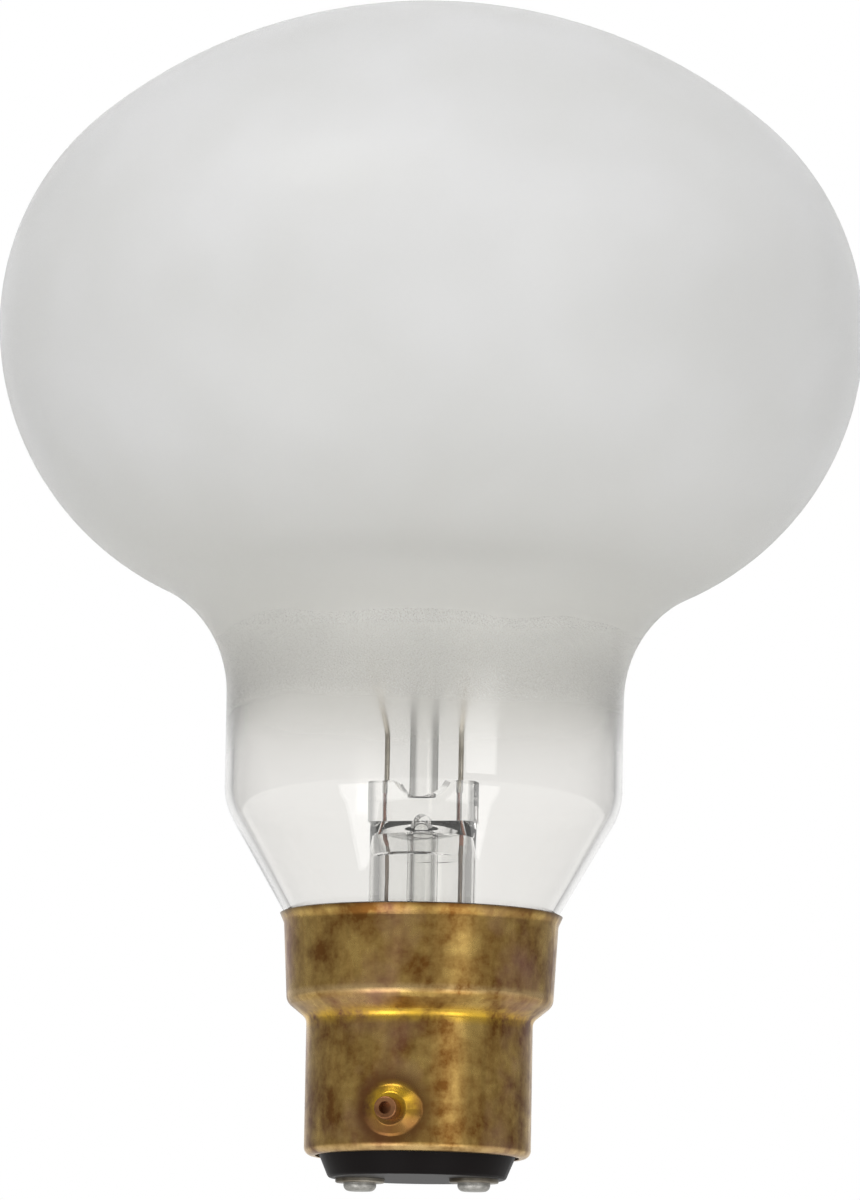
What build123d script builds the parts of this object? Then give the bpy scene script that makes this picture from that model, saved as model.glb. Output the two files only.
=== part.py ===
from build123d import *
from math import atan2, cos, degrees, radians, sin, sqrt, tan
import os

# A mushroom-headed incandescent lamp on a two-contact bayonet cap. Lengths are in millimetres.
# The origin is on the lamp's axis in the plane that its two contacts touch, and +Z points to the head.
# The bayonet pins lie along Y and the contacts along X.

# Contacts
contact_spacing = 11.35
solder_height = 0.8
solder_radius = 1.6
solder_edge_radius = 0.6
solder_plug_height = 1.2
plate_radius = 2.4
plate_thickness = 0.4
plate_edge_radius = 0.15
eyelet_radius = 1.1
eyelet_bore_radius = 0.6
eyelet_height = 4.0

# Black glass insulator
insulator_drop = 2.1
insulator_face_radius = 8.6
insulator_edge_radius = 0.4
insulator_flange_height = 1.4
insulator_mound_height = 2.2
insulator_mound_radius = 8.6

# Brass shell and skirt, outside sizes
shell_radius = 11.0
cap_wall = 0.3
lip_width = 1.1
shell_edge_bend = 0.8
shell_height = 13.3
shoulder_rise = 1.6
shoulder_lower_bend = 1.0
shoulder_upper_bend = 1.2
skirt_top_radius = 13.35
skirt_taper = 0.4
skirt_height = 7.7
rim_height = 0.9
rim_flare = 0.4
rim_bend = 1.0

# Bayonet pins and the raised bosses that they are riveted in
pin_height = 3.9
pin_radius = 1.1
pin_shank_radius = 0.85
pin_reach = 13.5
pin_edge_radius = 0.15
pin_recess_radius = 0.6
pin_recess_depth = 1.5
pin_head_radius = 1.4
pin_head_thickness = 0.3
boss_foot_radius = 3.1
boss_top_radius = 1.6
boss_rise = 0.6
boss_foot_sink = 0.5
boss_foot_bend = 0.5
boss_top_bend = 0.3

# Blown glass bulb, outside sizes
head_rise = 32.0
head_radius = 42.4
upper_shoulder_radius = 25.9
lower_shoulder_radius = 28.1
waist_bend_radius = 12.0
neck_length = 10.8
neck_radius = 19.4
neck_bend_radius = 6.5
neck_cone_angle = 30.0
collar_bend_radius = 2.0
collar_depth = 6.6
glass_wall = 0.8

# Glass stem: flare, tube and pressed top
stem_radius = 5.2
stem_wall = 1.0
flare_flat = 1.0
stem_height = 12.3
press_taper_height = 3.5
press_height = 3.8
press_width = 10.7
press_thickness = 3.8
press_corner_radius = 1.2
press_dip_radius = 2.8
press_dip_depth = 1.7
stem_roof_height = 2.0

# Exhaust tube
exhaust_radius = 1.5
exhaust_bore_radius = 1.0
exhaust_tip_thickness = 2.0
exhaust_tip_radius = 1.2
exhaust_tip_gap = 2.0
exhaust_hole_radius = 0.8

# Glass rod with the button that holds the filament's hooks
rod_radius = 1.4
button_radius = 2.6
button_height = 3.0
button_edge_radius = 1.0
button_drop = 3.5

# Filament: a coil bent to an open ring
filament_drop = 8.1
filament_ring_radius = 13.0
filament_gap_angle = 80.0
coil_radius = 0.45

# Wires
lead_spacing = 7.4
inner_lead_radius = 0.25
inner_lead_bend = 4.0
inner_lead_embedded = 1.2
inner_lead_straight = 5.0
inner_lead_top_straight = 3.0
inner_lead_overlap = 0.6
seal_wire_radius = 0.2
seal_wire_tail = 1.0
outer_lead_radius = 0.2
outer_lead_bend = 2.5
outer_lead_spread_rise = 1.8
outer_lead_spread_drop = 1.4
hook_count = 5
hook_wire_radius = 0.2
hook_bend = 0.4
hook_embedded = 1.2
hook_rise = 1.2

# Fuse in the right-hand lead
fuse_drop = 1.3
fuse_length = 7.0
fuse_wire_radius = 0.08
sleeve_radius = 1.3
sleeve_wall = 0.5
sleeve_end_thickness = 0.8
sleeve_end_radius = 0.5

# Clearances
wire_gap = 0.02
rivet_gap = 0.02
moulding_gap = 0.05
lip_gap = 0.3
cement_width = 0.85
cement_gap = 0.05
rim_glass_gap = 0.15
hollow_gap = 0.6

# Heights up the lamp's axis, from the contact plane
insulator_face = solder_height + plate_thickness
shell_edge = insulator_face + insulator_drop
lip_top = shell_edge + cap_wall
insulator_flange_top = lip_top + insulator_flange_height
insulator_top = insulator_flange_top + insulator_mound_height
eyelet_top = insulator_face + eyelet_height
pin_level = shell_edge + pin_height
shell_top = shell_edge + shell_height
skirt_foot = shell_top + shoulder_rise
skirt_top = skirt_foot + skirt_height
rim_top = skirt_top + rim_height
collar_foot = rim_top - collar_depth
stem_top = collar_foot + stem_height
press_foot = stem_top + press_taper_height
press_top = press_foot + press_height
press_dip = press_top - press_dip_depth
stem_roof = stem_top + stem_roof_height
exhaust_tip = insulator_top + exhaust_tip_gap
seal_wire_foot = stem_roof - seal_wire_tail
seal_wire_top = press_top - inner_lead_embedded
lead_spread_top = collar_foot + outer_lead_spread_rise
lead_spread_foot = collar_foot - outer_lead_spread_drop
fuse_top = lead_spread_foot - fuse_drop
fuse_foot = fuse_top - fuse_length

# Radii that follow from each other: the skirt's foot, the glass collar inside it and the stem's flare
skirt_foot_radius = skirt_top_radius - skirt_taper
collar_radius = skirt_top_radius - cap_wall - cement_width
flare_bend_radius = collar_radius - stem_radius - flare_flat

sides = {"left": -1, "right": 1}
os.makedirs("parts", exist_ok=True)


def finish(piece, name):
    """Label a finished piece and write it to its own file."""
    piece.part.label = name
    export_step(piece.part, f"parts/{name}.step")


def bent_wire(points, bend_radius, wire_radius):
    """A round wire that follows straight runs joined by bends."""
    with BuildPart() as wire:
        with BuildLine() as route:
            FilletPolyline(*points, radius=bend_radius)
        with BuildSketch(Plane(origin=route.line @ 0, z_dir=route.line % 0)):
            Circle(wire_radius)
        sweep()
    return wire


def straight_wire(x, foot, top, wire_radius):
    """A round wire that stands upright at a distance x from the axis."""
    with BuildPart() as wire:
        with BuildSketch(Plane.XY.offset(foot)):
            with Locations((x, 0)):
                Circle(wire_radius)
        extrude(amount=top - foot)
    return wire


# Glass bulb. Above the brass rim the glass opens in a cone to the neck, a cylinder up to the waist.
cone_slope = tan(radians(neck_cone_angle))
rim_glass_radius = skirt_top_radius + rim_flare - cap_wall - rim_glass_gap
cone_top = rim_top + (neck_radius - rim_glass_radius) / cone_slope
cone_foot = rim_top - (rim_glass_radius - collar_radius) / cone_slope
waist_level = cone_top + neck_length

# The head's outline is a hollow arc at the waist, two shoulder arcs that meet where the head is widest,
# and a dome arc. Each arc is tangent to the next.
lower_inset = head_radius - lower_shoulder_radius
waist_centre = neck_radius + waist_bend_radius
waist_offset = waist_centre - lower_inset
waist_drop = sqrt((lower_shoulder_radius + waist_bend_radius) ** 2 - waist_offset**2)
waist_angle = degrees(atan2(waist_drop, waist_offset))
head_widest_height = waist_level + waist_drop
dome_inset = head_radius - upper_shoulder_radius
dome_radius = (dome_inset**2 + head_rise**2 - upper_shoulder_radius**2) / (
    2 * (head_rise - upper_shoulder_radius)
)
dome_centre = head_widest_height + head_rise - dome_radius
dome_angle = degrees(atan2(head_widest_height - dome_centre, dome_inset))
filament_height = head_widest_height - filament_drop
button_middle = filament_height - button_drop

with BuildPart() as glass_envelope:
    with BuildSketch(Plane.XZ):
        with BuildLine():
            CenterArc((0, dome_centre), dome_radius, 90, dome_angle - 90)
            CenterArc((dome_inset, head_widest_height), upper_shoulder_radius, dome_angle, -dome_angle)
            CenterArc((lower_inset, head_widest_height), lower_shoulder_radius, 0, -waist_angle)
            CenterArc((waist_centre, waist_level), waist_bend_radius, 180 - waist_angle, waist_angle)
            FilletPolyline(
                (neck_radius, waist_level),
                (neck_radius, cone_top),
                (collar_radius, cone_foot),
                (collar_radius, collar_foot),
                radius=(neck_bend_radius, collar_bend_radius),
            )
            offset(amount=glass_wall, side=Side.RIGHT)
        make_face()
    revolve(axis=Axis.Z)
finish(glass_envelope, "glass_envelope")

# Glass stem. Its flare's rim is sealed to the collar's foot. Above the tube the soft glass is pressed
# flat round the wires, and its top edge dips between them, where the rod stands. A hole at the back
# leads from the exhaust tube into the bulb.
roof_half_width = press_width / 2 - stem_wall
roof_half_depth = exhaust_radius + hollow_gap
lead_x = lead_spacing / 2
seal_hole_radius = seal_wire_radius + wire_gap
inner_hole_radius = inner_lead_radius + wire_gap

with BuildPart() as stem_tube:
    with BuildSketch(Plane.XZ):
        with BuildLine():
            FilletPolyline(
                (collar_radius, collar_foot),
                (stem_radius, collar_foot),
                (stem_radius, stem_top),
                radius=flare_bend_radius,
            )
            offset(amount=stem_wall, side=Side.LEFT)
        make_face()
    revolve(axis=Axis.Z)
    with BuildSketch(Plane.XY.offset(stem_top)):
        Circle(stem_radius)
    with BuildSketch(Plane.XY.offset(press_foot)):
        Ellipse(press_width / 2, press_thickness / 2)
    loft()
    with BuildSketch(Plane.XY.offset(stem_top)):
        Circle(stem_radius - stem_wall)
    with BuildSketch(Plane.XY.offset(stem_roof)):
        Ellipse(roof_half_width, roof_half_depth)
    loft(mode=Mode.SUBTRACT)
    with BuildSketch(Plane.XY.offset(press_foot)):
        RectangleRounded(press_width, press_thickness, press_corner_radius)
    extrude(amount=press_height)
    with BuildSketch(Plane.XZ):
        with Locations((0, press_dip + press_dip_radius)):
            Circle(press_dip_radius)
    extrude(amount=press_thickness, both=True, mode=Mode.SUBTRACT)
    with BuildSketch(Plane.XY.offset(press_dip)):
        Circle(rod_radius + wire_gap)
    extrude(amount=press_dip_depth, mode=Mode.SUBTRACT)
    with BuildSketch(Plane.XY.offset(stem_roof)):
        with Locations((-lead_x, 0), (lead_x, 0)):
            Circle(seal_hole_radius)
    extrude(amount=seal_wire_top - stem_roof, mode=Mode.SUBTRACT)
    with BuildSketch(Plane.XY.offset(seal_wire_top)):
        with Locations((-lead_x, 0), (lead_x, 0)):
            Circle(inner_hole_radius)
    extrude(amount=inner_lead_embedded, mode=Mode.SUBTRACT)
    with BuildSketch(Plane.XY.offset(stem_roof)):
        Circle(exhaust_bore_radius)
    extrude(amount=press_foot - stem_roof, mode=Mode.SUBTRACT)
    with BuildSketch(Plane.XZ):
        with Locations((0, press_foot)):
            Circle(exhaust_hole_radius)
    extrude(amount=-stem_radius, mode=Mode.SUBTRACT)
finish(stem_tube, "stem_tube")

# Exhaust tube, drawn to a closed tip where the bulb was sealed off.
with BuildPart() as exhaust_tube:
    with BuildSketch(Plane.XZ):
        with BuildLine():
            FilletPolyline(
                (0, exhaust_tip),
                (exhaust_radius, exhaust_tip),
                (exhaust_radius, stem_roof),
                (exhaust_bore_radius, stem_roof),
                (exhaust_bore_radius, exhaust_tip + exhaust_tip_thickness),
                (0, exhaust_tip + exhaust_tip_thickness),
                close=True,
                radius=(0, exhaust_tip_radius, 0, 0, 0, 0),
            )
        make_face()
    revolve(axis=Axis.Z)
finish(exhaust_tube, "exhaust_tube")

# Filament ring. Angles are measured from the front, where its gap is, and go round the axis.
ring_start = filament_gap_angle / 2
ring_sweep = 360 - filament_gap_angle

with BuildPart() as filament:
    with BuildLine(Plane.XY.offset(filament_height)) as ring:
        CenterArc((0, 0), filament_ring_radius, ring_start - 90, ring_sweep)
    with BuildSketch(Plane(origin=ring.line @ 0, z_dir=ring.line % 0)):
        Circle(coil_radius)
    sweep()
finish(filament, "filament")

# Support rod. Its button has one blind hole for each hook.
hook_angles = [ring_start + ring_sweep * (k + 1) / (hook_count + 1) for k in range(hook_count)]
button_hole_foot = button_radius - hook_embedded

with BuildPart() as support_rod:
    with BuildSketch(Plane.XZ):
        with BuildLine():
            FilletPolyline(
                (0, press_dip),
                (rod_radius, press_dip),
                (rod_radius, button_middle - button_height / 2),
                (button_radius, button_middle - button_height / 2),
                (button_radius, button_middle + button_height / 2),
                (0, button_middle + button_height / 2),
                close=True,
                radius=(0, 0, 0, button_edge_radius, button_edge_radius, 0),
            )
        make_face()
    revolve(axis=Axis.Z)
    for angle in hook_angles:
        across = Plane.XZ.rotated((0, 0, angle))
        with BuildSketch(across.offset(button_hole_foot)):
            with Locations((0, button_middle)):
                Circle(hook_wire_radius + wire_gap)
        extrude(amount=button_radius, mode=Mode.SUBTRACT)
finish(support_rod, "support_rod")

# Filament hooks: each runs out of the button, passes under the coil and turns up outside it.
hook_level = filament_height - coil_radius - wire_gap - hook_wire_radius
hook_outside = filament_ring_radius + coil_radius + wire_gap + hook_wire_radius
hook_run_start = filament_ring_radius - 2 * coil_radius

for number, angle in enumerate(hook_angles, start=1):
    route = [
        (button_hole_foot, button_middle),
        (button_radius + hook_embedded, button_middle),
        (hook_run_start, hook_level),
        (hook_outside, hook_level),
        (hook_outside, hook_level + hook_rise),
    ]
    out_x = sin(radians(angle))
    out_y = -cos(radians(angle))
    points = [(radius * out_x, radius * out_y, height) for radius, height in route]
    filament_support = bent_wire(points, hook_bend, hook_wire_radius)
    finish(filament_support, f"filament_support_{number}")

# Wires on each side: nickel inner lead, copper-clad seal wire and copper outer lead, butted end to
# end. The right-hand outer lead is cut for the fuse, and a short tail goes on to its contact.
lead_turn = degrees((inner_lead_radius + wire_gap) / filament_ring_radius)
lead_angle = radians(ring_start - lead_turn)
contact_x = contact_spacing / 2

for side_name, side in sides.items():
    clamp_x = side * filament_ring_radius * sin(lead_angle)
    clamp_y = -filament_ring_radius * cos(lead_angle)
    inner_lead = bent_wire(
        [
            (side * lead_x, 0, seal_wire_top),
            (side * lead_x, 0, press_top + inner_lead_straight),
            (clamp_x, clamp_y, filament_height - inner_lead_top_straight),
            (clamp_x, clamp_y, filament_height + inner_lead_overlap),
        ],
        inner_lead_bend,
        inner_lead_radius,
    )
    finish(inner_lead, f"inner_lead_{side_name}")

    seal_wire = straight_wire(side * lead_x, seal_wire_foot, seal_wire_top, seal_wire_radius)
    finish(seal_wire, f"seal_wire_{side_name}")

    outer_lead = bent_wire(
        [
            (side * lead_x, 0, seal_wire_foot),
            (side * lead_x, 0, lead_spread_top),
            (side * contact_x, 0, lead_spread_foot),
            (side * contact_x, 0, fuse_top if side_name == "right" else solder_height),
        ],
        outer_lead_bend,
        outer_lead_radius,
    )
    finish(outer_lead, f"outer_lead_{side_name}")

fuse_wire = straight_wire(contact_x, fuse_foot, fuse_top, fuse_wire_radius)
finish(fuse_wire, "fuse_wire")

fuse_tail = straight_wire(contact_x, solder_height, fuse_foot, outer_lead_radius)
finish(fuse_tail, "fuse_tail")

# Fuse sleeve: a glass tube drawn in at both ends round the lead's two ends.
sleeve_foot = fuse_foot - sleeve_end_thickness
sleeve_length = fuse_length + 2 * sleeve_end_thickness
sleeve_middle = fuse_foot + fuse_length / 2

with BuildPart(Plane((contact_x, 0, sleeve_middle))) as fuse_sleeve:
    Cylinder(sleeve_radius, sleeve_length)
    fillet(fuse_sleeve.edges().filter_by(GeomType.CIRCLE), radius=sleeve_end_radius)
    Cylinder(sleeve_radius - sleeve_wall, fuse_length, mode=Mode.SUBTRACT)
    Cylinder(outer_lead_radius + wire_gap, sleeve_length, mode=Mode.SUBTRACT)
finish(fuse_sleeve, "fuse_sleeve")

# Brass cap: one drawn shell, curled in at its edge, stepped out to the skirt and flared at its rim.
# A raised boss stands round each bayonet pin.
with BuildPart() as cap_shell:
    with BuildSketch(Plane.XZ):
        with BuildLine():
            FilletPolyline(
                (shell_radius - lip_width, shell_edge),
                (shell_radius, shell_edge),
                (shell_radius, shell_top),
                (skirt_foot_radius, skirt_foot),
                (skirt_top_radius, skirt_top),
                (skirt_top_radius + rim_flare, rim_top),
                radius=(shell_edge_bend, shoulder_lower_bend, shoulder_upper_bend, rim_bend),
            )
            offset(amount=cap_wall, side=Side.LEFT)
        make_face()
    revolve(axis=Axis.Z)
    boss_foot = shell_radius - boss_foot_sink
    boss_top = shell_radius + boss_rise
    boss_taper = degrees(atan2(boss_foot_radius - boss_top_radius, boss_top - boss_foot))
    for facing in (0, 180):
        outward = Plane.XZ.rotated((0, 0, facing))
        with BuildSketch(outward.offset(boss_foot)):
            with Locations((0, pin_level)):
                Circle(boss_foot_radius)
        extrude(amount=boss_top - boss_foot, taper=boss_taper)
    with BuildSketch(Plane.XY.offset(pin_level - boss_foot_radius)):
        Circle(shell_radius - cap_wall)
    extrude(amount=2 * boss_foot_radius, mode=Mode.SUBTRACT)
    edges_front_to_back = cap_shell.edges().sort_by(Axis.Y)
    fillet((edges_front_to_back[0], edges_front_to_back[-1]), radius=boss_top_bend)
    fillet(cap_shell.edges().filter_by(GeomType.BSPLINE), radius=boss_foot_bend)
    for facing in (0, 180):
        outward = Plane.XZ.rotated((0, 0, facing))
        with BuildSketch(outward.offset(boss_foot - cap_wall)):
            with Locations((0, pin_level)):
                Circle(boss_foot_radius)
        extrude(amount=boss_top - boss_foot, taper=boss_taper, mode=Mode.SUBTRACT)
        with BuildSketch(outward.offset(boss_foot)):
            with Locations((0, pin_level)):
                Circle(pin_shank_radius + rivet_gap)
        extrude(amount=pin_reach, mode=Mode.SUBTRACT)
finish(cap_shell, "cap_shell")

# Bayonet pins: each stands on its boss, with a thinner shank through it that is spread to a rivet head
# behind. The outer end is hollow.
pin_foot = boss_top + rivet_gap
pin_head_top = boss_top - cap_wall - rivet_gap
for facing_name, facing in {"front": 0, "back": 180}.items():
    outward = Plane.XZ.rotated((0, 0, facing))
    with BuildPart() as bayonet_pin:
        with BuildSketch(outward.offset(pin_foot)):
            with Locations((0, pin_level)):
                Circle(pin_radius)
        extrude(amount=pin_reach - pin_foot)
        with BuildSketch(outward.offset(pin_head_top)):
            with Locations((0, pin_level)):
                Circle(pin_shank_radius)
        extrude(amount=pin_foot - pin_head_top)
        with BuildSketch(outward.offset(pin_head_top - pin_head_thickness)):
            with Locations((0, pin_level)):
                Circle(pin_head_radius)
        extrude(amount=pin_head_thickness)
        outer_face = bayonet_pin.faces().sort_by(Axis((0, 0, 0), outward.z_dir))[-1]
        fillet(outer_face.edges(), radius=pin_edge_radius)
        with BuildSketch(outward.offset(pin_reach)):
            with Locations((0, pin_level)):
                Circle(pin_recess_radius)
        extrude(amount=-pin_recess_depth, mode=Mode.SUBTRACT)
    finish(bayonet_pin, f"bayonet_pin_{facing_name}")

# Insulator: a tapered nose below the shell's lip, a flange on the lip and a mound inside the shell.
lip_radius = shell_radius - lip_width
flange_radius = shell_radius - cap_wall - moulding_gap
flange_bend = shell_edge_bend - cap_wall + moulding_gap

with BuildPart() as insulator:
    with BuildSketch(Plane.XZ):
        with BuildLine():
            FilletPolyline(
                (0, insulator_face),
                (insulator_face_radius, insulator_face),
                (lip_radius - lip_gap, lip_top),
                (flange_radius, lip_top),
                (flange_radius, insulator_flange_top),
                (insulator_mound_radius, insulator_top),
                (0, insulator_top),
                close=True,
                radius=(0, insulator_edge_radius, 0, flange_bend, 0, 0, 0),
            )
        make_face()
    revolve(axis=Axis.Z)
    with BuildSketch(Plane.XY.offset(insulator_face)):
        with Locations((-contact_x, 0), (contact_x, 0)):
            Circle(eyelet_radius + rivet_gap)
    extrude(amount=insulator_top, mode=Mode.SUBTRACT)
finish(insulator, "insulator")

# Contacts: each plate lies on the insulator's face, and its eyelet stands in the insulator. Solder
# closes the eyelet round the lead's end and forms the dome that touches the holder.
for side_name, side in sides.items():
    with BuildPart() as contact:
        with BuildSketch(Plane.XY.offset(solder_height)):
            with Locations((side * contact_x, 0)):
                Circle(plate_radius)
        extrude(amount=plate_thickness)
        fillet(contact.edges().group_by(Axis.Z)[0], radius=plate_edge_radius)
        with BuildSketch(Plane.XY.offset(solder_height)):
            with Locations((side * contact_x, 0)):
                Circle(eyelet_radius)
        extrude(amount=eyelet_top - solder_height)
        with BuildSketch(Plane.XY.offset(solder_height)):
            with Locations((side * contact_x, 0)):
                Circle(eyelet_bore_radius)
        extrude(amount=eyelet_top - solder_height, mode=Mode.SUBTRACT)
    finish(contact, f"contact_{side_name}")

    with BuildPart() as solder:
        with BuildSketch(Plane.XY):
            with Locations((side * contact_x, 0)):
                Circle(solder_radius)
        extrude(amount=solder_height)
        fillet(solder.edges().group_by(Axis.Z)[0], radius=solder_edge_radius)
        with BuildSketch(Plane.XY.offset(solder_height)):
            with Locations((side * contact_x, 0)):
                Circle(eyelet_bore_radius - rivet_gap)
                Circle(outer_lead_radius + wire_gap, mode=Mode.SUBTRACT)
        extrude(amount=solder_plug_height)
    finish(solder, f"solder_{side_name}")

# Capping cement: it fills the space between the glass collar and the skirt, up to the rim's flare.
cement_foot_radius = collar_radius + cement_gap
cone_shift = cement_gap / cos(radians(neck_cone_angle))
cement_corner = rim_top - (rim_glass_radius + cone_shift - cement_foot_radius) / cone_slope
cement_top_radius = rim_glass_radius + cone_shift - rim_height * cone_slope
skirt_inside = cap_wall + cement_gap

with BuildPart() as capping_cement:
    with BuildSketch(Plane.XZ):
        with BuildLine():
            FilletPolyline(
                (cement_foot_radius, collar_foot),
                (cement_foot_radius, cement_corner),
                (cement_top_radius, skirt_top),
                (skirt_top_radius - skirt_inside, skirt_top),
                (skirt_foot_radius - skirt_inside, collar_foot),
                close=True,
                radius=(0, collar_bend_radius - cement_gap, 0, 0, 0),
            )
        make_face()
    revolve(axis=Axis.Z)
finish(capping_cement, "capping_cement")
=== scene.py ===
from math import atan2, cos, pi, radians, sin, sqrt, tan

import bpy
from mathutils import Matrix, Vector


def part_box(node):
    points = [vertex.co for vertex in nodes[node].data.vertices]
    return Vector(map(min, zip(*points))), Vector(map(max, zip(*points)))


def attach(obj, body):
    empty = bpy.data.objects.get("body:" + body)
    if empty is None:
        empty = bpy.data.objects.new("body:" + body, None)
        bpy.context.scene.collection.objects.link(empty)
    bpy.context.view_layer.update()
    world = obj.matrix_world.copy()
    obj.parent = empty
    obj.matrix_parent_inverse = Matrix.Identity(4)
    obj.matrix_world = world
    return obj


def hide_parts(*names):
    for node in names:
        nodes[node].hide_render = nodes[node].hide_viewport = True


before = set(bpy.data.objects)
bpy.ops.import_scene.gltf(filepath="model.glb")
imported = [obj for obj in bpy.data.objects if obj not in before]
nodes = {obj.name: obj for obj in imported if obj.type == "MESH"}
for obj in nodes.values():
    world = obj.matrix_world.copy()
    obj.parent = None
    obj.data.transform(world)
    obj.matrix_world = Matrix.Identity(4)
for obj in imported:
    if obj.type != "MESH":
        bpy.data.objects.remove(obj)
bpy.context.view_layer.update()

# Glass stem and exhaust tube. Drawn lead glass, flared at the foot and pressed flat at the top
# round the wires while it was soft. The thin exhaust tube hangs from the press, melted shut at its
# tip.
MM = 0.001


def linear(colour):
    """An sRGB colour written in hex, as linear red, green, blue and alpha."""
    channels = [int(colour[i : i + 2], 16) / 255 for i in (0, 2, 4)]
    return (*[c / 12.92 if c <= 0.04045 else ((c + 0.055) / 1.055) ** 2.4 for c in channels], 1)


def new_material(name):
    """An empty node material, and its tree."""
    material = bpy.data.materials.new(name)
    material.use_nodes = True
    material.node_tree.nodes.clear()
    return material, material.node_tree


def add(tree, kind, inputs=None, **settings):
    """Adds a node with its settings, each input set to a value or linked to an output."""
    node = tree.nodes.new("ShaderNode" + kind)
    for name, value in settings.items():
        setattr(node, name, value)
    for name, value in (inputs or {}).items():
        if isinstance(value, bpy.types.NodeSocket):
            tree.links.new(value, node.inputs[name])
        else:
            node.inputs[name].default_value = value
    return node


def dress(material, *names):
    """Gives CAD nodes their finish."""
    for name in names:
        nodes[name].data.materials.clear()
        nodes[name].data.materials.append(material)


# Lead glass, drawn and fire-polished: clear, with faint draw lines along its length
LEAD_GLASS_IOR = 1.56
DRAW_LINE_WIDTH = 0.8 * MM
DRAW_LINE_LENGTH = 25 * MM
lead_glass, tree = new_material("drawn_lead_glass")
place = add(tree, "TexCoord").outputs["Object"]
stretched = add(
    tree,
    "Mapping",
    {"Vector": place, "Scale": (1 / DRAW_LINE_WIDTH, 1 / DRAW_LINE_WIDTH, 1 / DRAW_LINE_LENGTH)},
)
draw_lines = add(tree, "TexNoise", {"Vector": stretched.outputs[0], "Scale": 1.0, "Detail": 2.0})
draw_bump = add(
    tree, "Bump", {"Height": draw_lines.outputs["Fac"], "Strength": 0.25, "Distance": 0.02 * MM}
)
shader = add(
    tree,
    "BsdfPrincipled",
    {
        "Base Color": linear("FDFDFC"),
        "Roughness": 0.0,
        "IOR": LEAD_GLASS_IOR,
        "Transmission Weight": 1.0,
        "Normal": draw_bump.outputs[0],
    },
)
add(tree, "OutputMaterial", {"Surface": shader.outputs[0]})
dress(lead_glass, "stem_tube", "exhaust_tube", "support_rod")

# Wires. Nickel leads carry the filament, copper-clad wires are sealed in the press, and copper ones
# go on down to the contacts. Thin molybdenum hooks stand in the rod's button.
WIRE_DIE_LINE = 0.12 * MM
WIRE_OXIDE_PATCH = 3 * MM


def drawn_wire(name, colour, tarnish, roughness):
    """Drawn metal: fine die lines, and its bare colour blotched with a thin dull oxide."""
    material, tree = new_material(name)
    place = add(tree, "TexCoord").outputs["Object"]
    blotches = add(
        tree, "TexNoise", {"Vector": place, "Scale": 1 / WIRE_OXIDE_PATCH, "Detail": 3.0}
    )
    oxide = add(
        tree, "MapRange", {"Value": blotches.outputs["Fac"], "From Min": 0.42, "From Max": 0.66}
    )
    tint = add(
        tree,
        "Mix",
        {0: oxide.outputs[0], 6: linear(colour), 7: linear(tarnish)},
        data_type="RGBA",
    )
    die_lines = add(tree, "TexNoise", {"Vector": place, "Scale": 1 / WIRE_DIE_LINE, "Detail": 1.0})
    rough = add(
        tree,
        "MapRange",
        {"Value": die_lines.outputs["Fac"], "To Min": roughness - 0.08, "To Max": roughness + 0.12},
    )
    shader = add(
        tree,
        "BsdfPrincipled",
        {"Base Color": tint.outputs[2], "Metallic": 1.0, "Roughness": rough.outputs[0]},
    )
    add(tree, "OutputMaterial", {"Surface": shader.outputs[0]})
    return material


# Pale nickel leads
dress(
    drawn_wire("drawn_nickel_wire", "DAD4C8", "A39A8C", 0.3), "inner_lead_left", "inner_lead_right"
)
# Pink copper in the press
dress(drawn_wire("copper_clad_wire", "C98A6E", "8A5A4C", 0.35), "seal_wire_left", "seal_wire_right")
# Copper gone grey brown below it
dress(
    drawn_wire("tarnished_copper_wire", "A89684", "75675B", 0.35),
    "fuse_tail",
    "outer_lead_left",
    "outer_lead_right",
)
# Dull grey tin on the fuse
dress(drawn_wire("tinned_fuse_wire", "A9A8A4", "77736C", 0.35), "fuse_wire")
# Dark grey hooks
dress(
    drawn_wire("drawn_molybdenum_wire", "9A9994", "615F5C", 0.35),
    *[name for name in nodes if name.startswith("filament_support_")],
)

# Filament. Tungsten wire wound to a fine coil, bent to an open ring and held by the two leads and
# the hooks. Its turns are drawn a little coarser than real ones.
RING_RADIUS = 13.0 * MM
RING_GAP = radians(80)
COIL_RADIUS = 0.39 * MM
TUNGSTEN_RADIUS = 0.06 * MM
COIL_PITCH = 0.42 * MM
STEPS_A_TURN = 14
TUNGSTEN_SIDES = 6


def mesh_object(name, vertices, faces):
    """A smooth-shaded piece made from its points and faces."""
    mesh = bpy.data.meshes.new(name)
    mesh.from_pydata(vertices, [], faces)
    mesh.validate()
    mesh.shade_smooth()
    piece = bpy.data.objects.new(name, mesh)
    bpy.context.scene.collection.objects.link(piece)
    return piece


def tube_along(name, points, radius, sides):
    """A round closed wire along a line of points."""
    vertices, faces = [], []
    normal = None
    for i, point in enumerate(points):
        ahead = (points[min(i + 1, len(points) - 1)] - points[max(i - 1, 0)]).normalized()
        if normal is None:
            normal = ahead.orthogonal()
        normal = (normal - ahead * normal.dot(ahead)).normalized()
        across = ahead.cross(normal)
        for side in range(sides):
            angle = 2 * pi * side / sides
            vertices.append(point + radius * (cos(angle) * normal + sin(angle) * across))
    for i in range(len(points) - 1):
        for side in range(sides):
            after = (side + 1) % sides
            low, high = i * sides, (i + 1) * sides
            faces.append((low + side, low + after, high + after, high + side))
    faces.append(tuple(reversed(range(sides))))
    faces.append(tuple(len(vertices) - sides + side for side in range(sides)))
    return mesh_object(name, vertices, faces)


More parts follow.
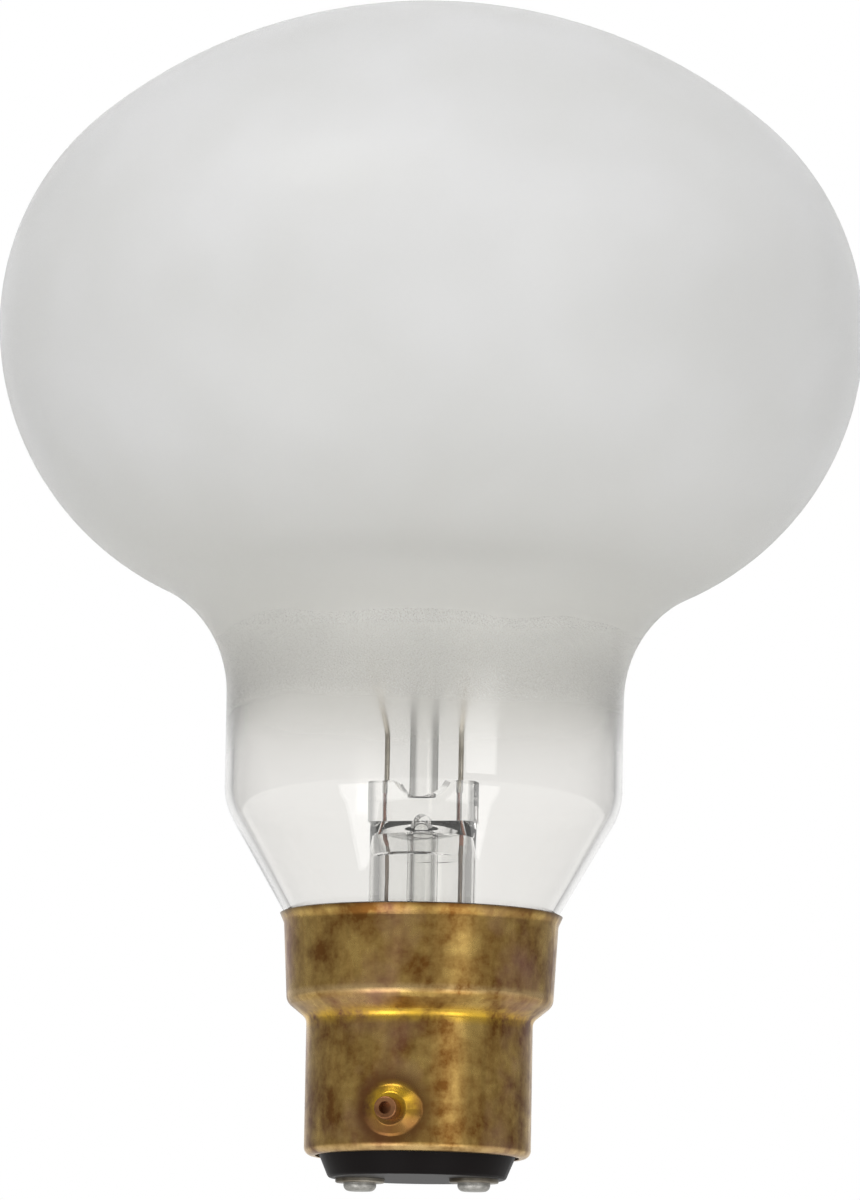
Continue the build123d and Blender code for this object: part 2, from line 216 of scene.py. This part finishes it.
filament_low, filament_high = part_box("filament")
filament_level = (filament_low.z + filament_high.z) / 2
ring_arc = 2 * pi - RING_GAP
coil_steps = int(ring_arc * RING_RADIUS / COIL_PITCH * STEPS_A_TURN)
coil_line = []
for step in range(coil_steps + 1):
    around = -pi / 2 + RING_GAP / 2 + ring_arc * step / coil_steps
    turn = 2 * pi * step / STEPS_A_TURN
    reach = RING_RADIUS + COIL_RADIUS * cos(turn)
    rise = COIL_RADIUS * sin(turn)
    coil_line.append(Vector((reach * cos(around), reach * sin(around), filament_level + rise)))
filament = tube_along("coiled_filament", coil_line, TUNGSTEN_RADIUS, TUNGSTEN_SIDES)
filament.data.materials.append(drawn_wire("coiled_tungsten_wire", "77777A", "4A4A4F", 0.38))
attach(filament, "root")
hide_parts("filament")

# Bulb. Blown soda-lime glass, its collar sealed to the stem's flare. The head is coated inside with
# a white silica powder that thins out above the clear neck. These sizes are in millimetres.
HEAD_RADIUS = 42.4
HEAD_RISE = 32.0
UPPER_SHOULDER = 25.9
LOWER_SHOULDER = 28.1
WAIST_BEND = 12.0
NECK_RADIUS = 19.4
NECK_LENGTH = 10.8
NECK_BEND = 6.5
NECK_SLOPE = radians(30)
NECK_CONE = tan(NECK_SLOPE)
RIM_GLASS_RADIUS = 13.3
COLLAR_RADIUS = 12.2
COLLAR_BEND = 2.0
RIM_LEVEL = 26.8
GLASS_WALL = 0.8
ARC_STEP = radians(2.5)
BULB_SEGMENTS = 192
ON_THE_AXIS = 1e-6


def arc(centre, radius, start, end):
    """Points on an arc from one angle to another, in radians."""
    count = max(2, round(abs(end - start) / ARC_STEP))
    angles = [start + (end - start) * i / count for i in range(count + 1)]
    return [(centre[0] + radius * cos(a), centre[1] + radius * sin(a)) for a in angles]


def bulb_outline(inset):
    """The bulb's outline, crown to collar, as (radius, height), moved in by inset."""
    cone_top = RIM_LEVEL + (NECK_RADIUS - RIM_GLASS_RADIUS) / NECK_CONE
    cone_foot = RIM_LEVEL - (RIM_GLASS_RADIUS - COLLAR_RADIUS) / NECK_CONE
    waist = cone_top + NECK_LENGTH
    lower_inset = HEAD_RADIUS - LOWER_SHOULDER
    waist_across = NECK_RADIUS + WAIST_BEND - lower_inset
    waist_drop = sqrt((LOWER_SHOULDER + WAIST_BEND) ** 2 - waist_across**2)
    waist_angle = atan2(waist_drop, waist_across)
    widest = waist + waist_drop
    upper_inset = HEAD_RADIUS - UPPER_SHOULDER
    dome = (upper_inset**2 + HEAD_RISE**2 - UPPER_SHOULDER**2) / (2 * (HEAD_RISE - UPPER_SHOULDER))
    dome_centre = widest + HEAD_RISE - dome
    dome_angle = atan2(widest - dome_centre, upper_inset)
    bend_side = NECK_SLOPE / 2
    neck_corner = (NECK_RADIUS - NECK_BEND, cone_top + NECK_BEND * tan(bend_side))
    collar_corner = (COLLAR_RADIUS + COLLAR_BEND, cone_foot - COLLAR_BEND * tan(bend_side))
    outline = arc((0, dome_centre), dome - inset, pi / 2, dome_angle)
    outline += arc((upper_inset, widest), UPPER_SHOULDER - inset, dome_angle, 0)[1:]
    outline += arc((lower_inset, widest), LOWER_SHOULDER - inset, 0, -waist_angle)[1:]
    outline += arc((NECK_RADIUS + WAIST_BEND, waist), WAIST_BEND + inset, pi - waist_angle, pi)[1:]
    outline += arc(neck_corner, NECK_BEND - inset, 0, -NECK_SLOPE)
    outline += arc(collar_corner, COLLAR_BEND + inset, pi - NECK_SLOPE, pi)
    collar_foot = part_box("glass_envelope")[0].z / MM
    return outline + [(COLLAR_RADIUS - inset, collar_foot)]


def lathe(name, outline, segments):
    """A closed outline of (radius, height) in millimetres turned round the axis."""
    vertices, rings, faces = [], [], []
    for radius, height in outline:
        if radius < ON_THE_AXIS:
            rings.append([len(vertices)] * segments)
            vertices.append((0, 0, height * MM))
            continue
        rings.append([len(vertices) + i for i in range(segments)])
        for i in range(segments):
            angle = 2 * pi * i / segments
            vertices.append((radius * cos(angle) * MM, radius * sin(angle) * MM, height * MM))
    for upper, lower in zip(rings, rings[1:] + rings[:1]):
        for i in range(segments):
            j = (i + 1) % segments
            corners = list(dict.fromkeys((upper[i], lower[i], lower[j], upper[j])))
            if len(corners) > 2:
                faces.append(corners)
    return mesh_object(name, vertices, faces)


outside = bulb_outline(0)
inside = bulb_outline(GLASS_WALL)
bulb = lathe("blown_bulb", outside + inside[::-1], BULB_SEGMENTS)

# Blown soda-lime glass: clear and smooth. Where the powder coats it, it is a soft, even white that
# scatters the light through, and the coat's edge is a ragged mist.
SODA_LIME_IOR = 1.52
COAT_EDGE = 47.5 * MM
COAT_MIST = 7.0 * MM
COAT_THIN_TOP = 72.0 * MM
COAT_BLOTCH = 14.0 * MM
COAT_WANDER = 0.7 * MM
GRAIN = 0.9 * MM
SINGLE_GRAIN = 0.05 * MM
blown_glass, tree = new_material("blown_glass_coated_white_inside")
place = add(tree, "TexCoord").outputs["Object"]
height = add(tree, "SeparateXYZ", {0: place}).outputs["Z"]
blotches = add(tree, "TexNoise", {"Vector": place, "Scale": 1 / COAT_BLOTCH, "Detail": 1.0})
wander = add(
    tree,
    "MapRange",
    {
        "Value": blotches.outputs["Fac"],
        "From Min": 0.3,
        "From Max": 0.7,
        "To Min": -COAT_WANDER,
        "To Max": COAT_WANDER,
    },
)
ragged = add(tree, "Math", {0: height, 1: wander.outputs[0]}, operation="ADD")
coat = add(
    tree,
    "MapRange",
    {
        "Value": ragged.outputs[0],
        "From Min": COAT_EDGE - COAT_MIST,
        "From Max": COAT_EDGE + COAT_MIST,
    },
    interpolation_type="SMOOTHSTEP",
).outputs[0]
powder_grain = add(tree, "TexNoise", {"Vector": place, "Scale": 1 / GRAIN, "Detail": 2.0})
cloud = add(
    tree, "MapRange", {"Value": blotches.outputs["Fac"], "From Min": 0.35, "From Max": 0.65}
)
powder = add(
    tree,
    "Mix",
    {0: cloud.outputs[0], 6: linear("F1F1F0"), 7: linear("F6F6F6")},
    data_type="RGBA",
)
# The coat thickens from a cream-tinged veil at the waist to full white in the head
thick = add(
    tree,
    "MapRange",
    {"Value": height, "From Min": COAT_EDGE, "From Max": COAT_THIN_TOP},
    interpolation_type="SMOOTHSTEP",
).outputs[0]
powder = add(
    tree, "Mix", {0: thick, 6: linear("F8F7F2"), 7: powder.outputs[2]}, data_type="RGBA"
)
colour = add(
    tree, "Mix", {0: coat, 6: linear("F8F7F5"), 7: powder.outputs[2]}, data_type="RGBA"
)
let_through = add(tree, "MapRange", {"Value": thick, "To Min": 0.75, "To Max": 0.5})
clear_share = add(
    tree, "MapRange", {"Value": coat, "To Min": 1.0, "To Max": let_through.outputs[0]}
)
rough = add(tree, "MapRange", {"Value": coat, "To Min": 0.0, "To Max": 0.5})
# Each grain of the powder scatters a little more or less than the next
single_grain = add(tree, "TexNoise", {"Vector": place, "Scale": 1 / SINGLE_GRAIN, "Detail": 0.0})
grain_share = add(
    tree,
    "MapRange",
    {
        "Value": single_grain.outputs["Fac"],
        "From Min": 0.35,
        "From Max": 0.65,
        "To Min": 0.55,
        "To Max": 1.45,
    },
)
rough = add(tree, "Math", {0: rough.outputs[0], 1: grain_share.outputs[0]}, operation="MULTIPLY")
grain_height = add(tree, "Math", {0: powder_grain.outputs["Fac"], 1: coat}, operation="MULTIPLY")
grain_bump = add(
    tree, "Bump", {"Height": grain_height.outputs[0], "Strength": 0.1, "Distance": 0.01 * MM}
)
shader = add(
    tree,
    "BsdfPrincipled",
    {
        "Base Color": colour.outputs[2],
        "Roughness": rough.outputs[0],
        "IOR": SODA_LIME_IOR,
        "Transmission Weight": clear_share.outputs[0],
        "Normal": grain_bump.outputs[0],
    },
)
add(tree, "OutputMaterial", {"Surface": shader.outputs[0]})
bulb.data.materials.append(blown_glass)
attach(bulb, "root")
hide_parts("glass_envelope")

# Fuse sleeve. A short clear glass tube round the thin fuse wire, drawn in at both ends round the
# lead that carries it. It holds the arc when the fuse blows.
dress(lead_glass, "fuse_sleeve")

# Capping cement. A ring of resin and marble flour that is spread in the skirt and baked on to the
# glass collar: dull, buff and sandy.
CEMENT_GRIT = 0.25 * MM
cement, tree = new_material("baked_capping_cement")
place = add(tree, "TexCoord").outputs["Object"]
grit = add(tree, "TexNoise", {"Vector": place, "Scale": 1 / CEMENT_GRIT, "Detail": 3.0})
shade = add(
    tree,
    "Mix",
    {0: grit.outputs["Fac"], 6: linear("8C7B62"), 7: linear("CDBD9C")},
    data_type="RGBA",
)
grit_bump = add(
    tree, "Bump", {"Height": grit.outputs["Fac"], "Strength": 0.6, "Distance": 0.08 * MM}
)
shader = add(
    tree,
    "BsdfPrincipled",
    {
        "Base Color": shade.outputs[2],
        "Roughness": 0.85,
        "Normal": grit_bump.outputs[0],
    },
)
add(tree, "OutputMaterial", {"Surface": shader.outputs[0]})
dress(cement, "capping_cement")

# Cap and pins. Thin sheet brass, drawn to a shell with a wider skirt, and two hollow turned pins
# riveted in raised bosses. Age has browned it; highlights and shade are painted into its colour.
PATINA_PATCH = 3.5 * MM
BLUSH_PATCH = 8.0 * MM
BLUSH_SHIFT = (0.31, 0.17, 0.05)
DRAW_STREAK_WIDTH = 0.8 * MM
DRAW_STREAK_LENGTH = 7 * MM
DENT = 7.0 * MM
PIN_LEVEL = 7.2 * MM
BOSS_EDGE = 3.1 * MM
BOSS_SHADE_EDGE = 1.5 * BOSS_EDGE
# Bands round the cap, each with its height and half width in millimetres: painted highlights on
# the skirt's foot and the shell's bottom edge, a painted shadow along the rim, and a painted
# highlight in the shoulder
PAINTED_HIGHLIGHT_EDGES = ((18.75, 0.6), (3.6, 0.5))
PAINTED_RIM_SHADOW = (26.85, 0.6)
PAINTED_SHOULDER_HIGHLIGHT = (16.4, 1.1)
# Drawn brass, aged: brown and gold mottling with faint streaks along the draw, with pale painted
# highlights on two edges, yellow painted highlights in the shoulder and above the pins, and painted
# shade along the rim and round the bosses
brass, tree = new_material("aged_drawn_brass")
place = add(tree, "TexCoord").outputs["Object"]
height = add(tree, "SeparateXYZ", {0: place}).outputs["Z"]
patches = add(
    tree,
    "TexNoise",
    {"Vector": place, "Scale": 1 / PATINA_PATCH, "Detail": 6.0, "Roughness": 0.65},
).outputs["Fac"]
patina = add(tree, "ValToRGB", {"Fac": patches})
patina.color_ramp.elements[0].position = 0.36
patina.color_ramp.elements[0].color = linear("7E5426")
patina.color_ramp.elements[1].position = 0.64
patina.color_ramp.elements[1].color = linear("CDAA62")
# A purple-grey blush lies over the mottling in patches of its own
shifted = add(tree, "Mapping", {"Vector": place, "Location": BLUSH_SHIFT})
blush = add(
    tree, "TexNoise", {"Vector": shifted.outputs[0], "Scale": 1 / BLUSH_PATCH, "Detail": 3.0}
)
blush_share = add(
    tree,
    "MapRange",
    {"Value": blush.outputs["Fac"], "From Min": 0.52, "From Max": 0.7, "To Max": 0.5},
)
colour = add(
    tree,
    "Mix",
    {0: blush_share.outputs[0], 6: patina.outputs[0], 7: linear("A87C74")},
    data_type="RGBA",
)
along = add(
    tree,
    "Mapping",
    {
        "Vector": place,
        "Scale": (1 / DRAW_STREAK_WIDTH, 1 / DRAW_STREAK_WIDTH, 1 / DRAW_STREAK_LENGTH),
    },
)
streaks = add(tree, "TexNoise", {"Vector": along.outputs[0], "Scale": 1.0, "Detail": 3.0})
streak_shade = add(
    tree,
    "MapRange",
    {
        "Value": streaks.outputs["Fac"],
        "From Min": 0.3,
        "From Max": 0.7,
        "To Min": 0.88,
        "To Max": 1.06,
    },
)
colour = add(
    tree,
    "Mix",
    {0: 1.0, 6: colour.outputs[2], 7: streak_shade.outputs[0]},
    data_type="RGBA",
    blend_type="MULTIPLY",
)


def near(level, half_width):
    """How near a point's height is to a level: 1 at the level and 0 from half_width away."""
    apart = add(tree, "Math", {0: height, 1: level * MM}, operation="SUBTRACT")
    apart = add(tree, "Math", {0: apart.outputs[0]}, operation="ABSOLUTE")
    return add(
        tree,
        "MapRange",
        {"Value": apart.outputs[0], "From Max": half_width * MM, "To Min": 1.0, "To Max": 0.0},
        interpolation_type="SMOOTHSTEP",
    ).outputs[0]


# A dark painted shadow along the rim's top edge, where it meets the glass
painted_rim_shadow = add(tree, "Math", {0: near(*PAINTED_RIM_SHADOW), 1: 0.75}, operation="MULTIPLY")
colour = add(
    tree,
    "Mix",
    {0: painted_rim_shadow.outputs[0], 6: colour.outputs[2], 7: linear("4A3018")},
    data_type="RGBA",
)
# Pale painted highlights on the skirt's foot and the shell's bottom edge
painted_edge_highlight = near(*PAINTED_HIGHLIGHT_EDGES[0])
for edge in PAINTED_HIGHLIGHT_EDGES[1:]:
    painted_edge_highlight = add(tree, "Math", {0: painted_edge_highlight, 1: near(*edge)}, operation="MAXIMUM").outputs[0]
flat = add(tree, "VectorMath", {0: place, 1: (1, 0, 1)}, operation="MULTIPLY")
from_pin = add(
    tree, "VectorMath", {0: flat.outputs[0], 1: (0, 0, PIN_LEVEL)}, operation="DISTANCE"
)
boss = add(
    tree,
    "MapRange",
    {
        "Value": from_pin.outputs["Value"],
        "From Min": 0.6 * BOSS_EDGE,
        "From Max": BOSS_EDGE,
        "To Min": 1.0,
        "To Max": 0.0,
    },
    interpolation_type="SMOOTHSTEP",
)
# Painted shade lies round the boss's foot, and the painted highlight only on its upper side
above_pin = add(
    tree,
    "MapRange",
    {
        "Value": height,
        "From Min": PIN_LEVEL - 1.2 * MM,
        "From Max": PIN_LEVEL + 0.8 * MM,
        "To Min": 0.1,
    },
    interpolation_type="SMOOTHSTEP",
)
painted_boss_highlight = add(
    tree, "Math", {0: boss.outputs[0], 1: above_pin.outputs[0]}, operation="MULTIPLY"
)
# Painted shade round the foot of each boss
painted_boss_shade = add(
    tree,
    "MapRange",
    {
        "Value": from_pin.outputs["Value"],
        "From Min": 0.9 * BOSS_EDGE,
        "From Max": BOSS_SHADE_EDGE,
        "To Min": 0.8,
        "To Max": 0.0,
    },
    interpolation_type="SMOOTHSTEP",
)
colour = add(
    tree,
    "Mix",
    {0: painted_boss_shade.outputs[0], 6: colour.outputs[2], 7: linear("6E4424")},
    data_type="RGBA",
)
# Yellow painted highlights in the shoulder and on the bosses' upper sides
painted_yellow_highlight = add(
    tree, "Math", {0: painted_boss_highlight.outputs[0], 1: near(*PAINTED_SHOULDER_HIGHLIGHT)}, operation="MAXIMUM"
)
# The patina's darkest patches stay on through the painted highlights
patina_under_highlight = add(
    tree, "MapRange", {"Value": patches, "From Min": 0.36, "From Max": 0.56, "To Max": 0.75}
)
# Each painted highlight colour laid on through its mask
for mask, bare in ((painted_edge_highlight, "E0BE86"), (painted_yellow_highlight.outputs[0], "EFC038")):
    share = add(tree, "Math", {0: mask, 1: patina_under_highlight.outputs[0]}, operation="MULTIPLY")
    colour = add(
        tree,
        "Mix",
        {0: share.outputs[0], 6: colour.outputs[2], 7: linear(bare)},
        data_type="RGBA",
    )
rough = add(
    tree,
    "MapRange",
    {"Value": patches, "From Min": 0.3, "From Max": 0.7, "To Min": 0.36, "To Max": 0.24},
)
dents = add(tree, "TexNoise", {"Vector": place, "Scale": 1 / DENT, "Detail": 1.0})
streak_bump = add(
    tree, "Bump", {"Height": streaks.outputs["Fac"], "Strength": 0.35, "Distance": 0.01 * MM}
)
dent_bump = add(
    tree,
    "Bump",
    {
        "Height": dents.outputs["Fac"],
        "Strength": 0.5,
        "Distance": 0.2 * MM,
        "Normal": streak_bump.outputs[0],
    },
)
shader = add(
    tree,
    "BsdfPrincipled",
    {
        "Base Color": colour.outputs[2],
        "Metallic": 1.0,
        "Roughness": rough.outputs[0],
        "Normal": dent_bump.outputs[0],
    },
)
add(tree, "OutputMaterial", {"Surface": shader.outputs[0]})
dress(brass, "cap_shell")
# The pins are turned from brass rod and dark with age, a pinkish brown
dress(
    drawn_wire("turned_brass", "A87650", "5E3C26", 0.32), "bayonet_pin_front", "bayonet_pin_back"
)

# Insulator. Black glass cast into the shell's end, where it set round the two eyelets. It shows
# soft flow ripples, and dust leaves it nearly dull.
FLOW_RIPPLE = 2.5 * MM
black_glass, tree = new_material("cast_black_glass")
place = add(tree, "TexCoord").outputs["Object"]
ripple = add(tree, "TexNoise", {"Vector": place, "Scale": 1 / FLOW_RIPPLE, "Detail": 2.0})
ripple_bump = add(
    tree, "Bump", {"Height": ripple.outputs["Fac"], "Strength": 0.4, "Distance": 0.1 * MM}
)
shader = add(
    tree,
    "BsdfPrincipled",
    {
        "Base Color": linear("171414"),
        "Roughness": 0.4,
        "Specular IOR Level": 0.05,
        "IOR": SODA_LIME_IOR,
        "Normal": ripple_bump.outputs[0],
    },
)
add(tree, "OutputMaterial", {"Surface": shader.outputs[0]})
dress(black_glass, "insulator")

# Contacts. Stamped brass plates with eyelets for the leads, held in the insulator's glass. They are
# tinned, and age has turned them a dull grey brown.
dress(drawn_wire("tinned_brass_plate", "9C968A", "645C50", 0.4), "contact_left", "contact_right")

# Solder. A drop of tin-lead solder closes each eyelet. It froze to a low dome, which the holder's
# plungers have worn grey.
SOLDER_GRAIN = 0.4 * MM
solder, tree = new_material("frozen_solder")
place = add(tree, "TexCoord").outputs["Object"]
grain = add(tree, "TexNoise", {"Vector": place, "Scale": 1 / SOLDER_GRAIN, "Detail": 3.0})
shade = add(
    tree,
    "Mix",
    {0: grain.outputs["Fac"], 6: linear("7F7D79"), 7: linear("C9C7C2")},
    data_type="RGBA",
)
grain_bump = add(
    tree, "Bump", {"Height": grain.outputs["Fac"], "Strength": 0.4, "Distance": 0.05 * MM}
)
shader = add(
    tree,
    "BsdfPrincipled",
    {
        "Base Color": shade.outputs[2],
        "Metallic": 1.0,
        "Roughness": 0.42,
        "Normal": grain_bump.outputs[0],
    },
)
add(tree, "OutputMaterial", {"Surface": shader.outputs[0]})
dress(solder, "solder_left", "solder_right")

# Studio. A plain pale floor well below the lamp, a white surround that is darker on the camera's
# side, two soft lamps above, and two low ones that show in the brass where it faces down.
FLOOR_LEVEL = -0.25
FLOOR_RADIUS = 1.5
FLOOR_SIDES = 64
FLOOR_FADE_START = 0.25
FLOOR_FADE_END = 1.1
CAMERA_AZIMUTH = 13.5
toward_camera = Vector((sin(radians(CAMERA_AZIMUTH)), -cos(radians(CAMERA_AZIMUTH)), 0))
floor_angles = [2 * pi * i / FLOOR_SIDES for i in range(FLOOR_SIDES)]
floor_points = [
    (FLOOR_RADIUS * cos(angle), FLOOR_RADIUS * sin(angle), FLOOR_LEVEL) for angle in floor_angles
]
floor = mesh_object("studio_floor", floor_points, [tuple(range(FLOOR_SIDES))])
# Matt pale paint. Far from the lamp it goes over to plain white, so that no horizon shows, and from
# below it can be seen through.
floor_paint, tree = new_material("matt_floor_paint")
place = add(tree, "TexCoord").outputs["Object"]
level = add(tree, "VectorMath", {0: place, 1: (1, 1, 0)}, operation="MULTIPLY")
distance = add(tree, "VectorMath", {0: level.outputs[0]}, operation="LENGTH")
fade = add(
    tree,
    "MapRange",
    {
        "Value": distance.outputs["Value"],
        "From Min": FLOOR_FADE_START,
        "From Max": FLOOR_FADE_END,
    },
    interpolation_type="SMOOTHSTEP",
)
paint = add(tree, "BsdfDiffuse", {"Color": linear("CECECC")})
white = add(tree, "Emission", {"Color": linear("FFFFFF"), "Strength": 1.0})
far = add(tree, "MixShader", {0: fade.outputs[0], 1: paint.outputs[0], 2: white.outputs[0]})
light_path = add(tree, "LightPath")
seen = add(
    tree,
    "Math",
    {0: light_path.outputs["Is Camera Ray"], 1: light_path.outputs["Is Transmission Ray"]},
    operation="MAXIMUM",
)
top_side = add(tree, "MixShader", {0: seen.outputs[0], 1: paint.outputs[0], 2: far.outputs[0]})
from_below = add(tree, "NewGeometry").outputs["Backfacing"]
clear = add(tree, "BsdfTransparent", {"Color": linear("FFFFFF")})
both_sides = add(tree, "MixShader", {0: from_below, 1: top_side.outputs[0], 2: clear.outputs[0]})
add(tree, "OutputMaterial", {"Surface": both_sides.outputs[0]})
floor.data.materials.append(floor_paint)

world = bpy.data.worlds.new("studio_surround")
bpy.context.scene.world = world
world.use_nodes = True
tree = world.node_tree
tree.nodes.clear()
direction = add(tree, "TexCoord").outputs["Generated"]


def by_direction(along, near_end, far_end, near_level, far_level):
    """A level that goes from near_level to far_level as a direction turns towards along."""
    facing = add(tree, "VectorMath", {0: direction, 1: along}, operation="DOT_PRODUCT")
    return add(
        tree,
        "MapRange",
        {
            "Value": facing.outputs["Value"],
            "From Min": near_end,
            "From Max": far_end,
            "To Min": near_level,
            "To Max": far_level,
        },
        interpolation_type="SMOOTHSTEP",
    ).outputs[0]


# What is mirrored in metal and glass, what is seen through the glass, and what lights the rest
reflected = by_direction(
    toward_camera, near_end=-0.99, far_end=-0.75, near_level=1.0, far_level=0.38
)
through = by_direction(
    toward_camera, near_end=-0.975, far_end=-0.83, near_level=1.0, far_level=0.42
)
from_above = by_direction((0, 0, 1), near_end=-0.7, far_end=0.9, near_level=0.94, far_level=1.15)
from_camera = by_direction(
    toward_camera, near_end=-0.2, far_end=0.8, near_level=1.0, far_level=0.8
)
scattered = add(tree, "Math", {0: from_above, 1: from_camera}, operation="MULTIPLY").outputs[0]
light_path = add(tree, "LightPath")
level = add(
    tree,
    "Mix",
    {0: light_path.outputs["Is Glossy Ray"], 2: scattered, 3: reflected},
    data_type="FLOAT",
)
level = add(
    tree,
    "Mix",
    {0: light_path.outputs["Is Transmission Ray"], 2: level.outputs[0], 3: through},
    data_type="FLOAT",
)
level = add(
    tree,
    "Mix",
    {0: light_path.outputs["Is Camera Ray"], 2: level.outputs[0], 3: 1.0},
    data_type="FLOAT",
)
background = add(tree, "Background", {"Color": linear("FFFFFF"), "Strength": level.outputs[0]})
add(tree, "OutputWorld", {"Surface": background.outputs[0]})


LAMP_AIM = Vector((0, 0, 0.06))


def softbox(name, azimuth, elevation, distance, size, radiance):
    """A rectangular soft lamp that faces the object. Radiance is the light that leaves it."""
    width, height = size
    data = bpy.data.lights.new(name, "AREA")
    data.shape = "RECTANGLE"
    data.size, data.size_y = width, height
    data.energy = radiance * pi * width * height
    lamp = bpy.data.objects.new(name, data)
    around, up = radians(azimuth), radians(elevation)
    outward = Vector((sin(around) * cos(up), -cos(around) * cos(up), sin(up)))
    lamp.location = LAMP_AIM + distance * outward
    lamp.rotation_euler = outward.to_track_quat("Z", "Y").to_euler()
    bpy.context.scene.collection.objects.link(lamp)


# Each lamp's turn from the camera's side and its elevation in degrees, its distance and size in
# metres, and its radiance
LAMPS = {
    "left_softbox": (-32, 50, 1.2, (0.7, 0.45), 4.0),
    "right_softbox": (33, 20, 1.2, (0.4, 0.9), 1.7),
    "left_low_lamp": (-34, -36, 0.38, (0.22, 0.2), 1.6),
    "right_low_lamp": (33, -36, 0.38, (0.16, 0.2), 1.4),
}
for name, (aside, elevation, distance_away, size, radiance) in LAMPS.items():
    softbox(name, CAMERA_AZIMUTH + aside, elevation, distance_away, size, radiance)

# Camera. A long lens that looks slightly up at the lamp, rolled by one degree. Angles are in
# degrees, distances in metres and the lens in millimetres.
CAMERA_DISTANCE = 0.75
CAMERA_DROP = 7.66
CAMERA_ROLL = 1.0
CAMERA_LENS = 230
AIM_LEVEL = 0.0578
AIM_SIDE = 0.0003
up = radians(CAMERA_DROP)
back = Vector((toward_camera.x * cos(up), toward_camera.y * cos(up), -sin(up)))
camera_data = bpy.data.cameras.new("camera")
camera_data.lens = CAMERA_LENS
camera = bpy.data.objects.new("camera", camera_data)
right = Vector((-toward_camera.y, toward_camera.x, 0))
aim = Vector((0, 0, AIM_LEVEL)) + AIM_SIDE * right
turn = back.to_track_quat("Z", "Y").to_matrix().to_4x4()
roll = Matrix.Rotation(radians(CAMERA_ROLL), 4, "Z")
camera.matrix_world = Matrix.Translation(aim + CAMERA_DISTANCE * back) @ turn @ roll
bpy.context.scene.collection.objects.link(camera)
bpy.context.scene.camera = camera
bpy.context.scene.view_settings.view_transform = "Standard"
